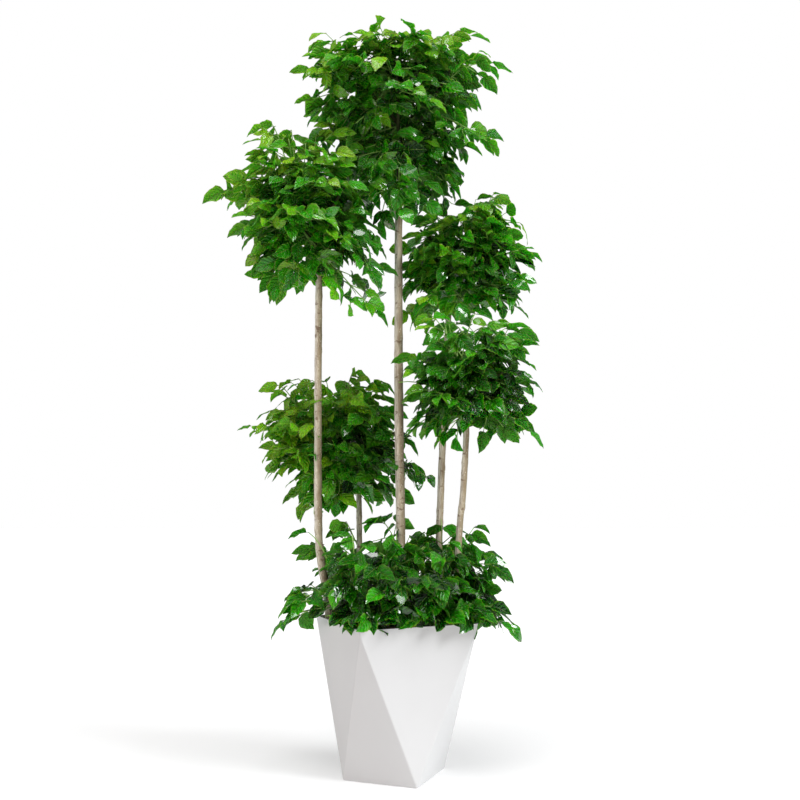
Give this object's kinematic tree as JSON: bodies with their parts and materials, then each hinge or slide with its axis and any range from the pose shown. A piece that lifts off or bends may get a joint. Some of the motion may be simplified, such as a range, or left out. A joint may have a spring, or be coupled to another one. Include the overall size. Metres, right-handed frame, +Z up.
{
  "type": "potted plant",
  "caption": "Potted china doll plant with bare stems of several heights, each with a leafy head, and a skirt of low shoots in a faceted white planter.",
  "frame": {"origin": "middle of the planter's flat underside, on the surface that it stands on", "axes": "+Z up along the stems, -Y towards the viewer of the picture, +X to the viewer's right"},
  "size_m": [0.8212, 0.5349, 1.8354],
  "materials": {
    "planter": "satin white moulded plastic",
    "soil": "rough damp potting soil",
    "bark": "matt pale grey-beige bark with small knots",
    "leaf": "glossy green leaf"
  },
  "bodies": {
    "root": {"pot": "planter", "soil": "soil", "stem_top": "bark", "stem_left": "bark", "stem_right_upper": "bark", "stem_right_lower": "bark", "stem_left_lower": "bark", "crown_top": "leaf", "crown_left": "leaf", "crown_right_upper": "leaf", "crown_right_lower": "leaf", "crown_left_lower": "leaf", "low_shoot_1": "leaf", "low_shoot_2": "leaf", "low_shoot_3": "leaf", "low_shoot_4": "leaf", "low_shoot_5": "leaf", "low_shoot_6": "leaf", "low_shoot_7": "leaf"}
  },
  "joints": []
}
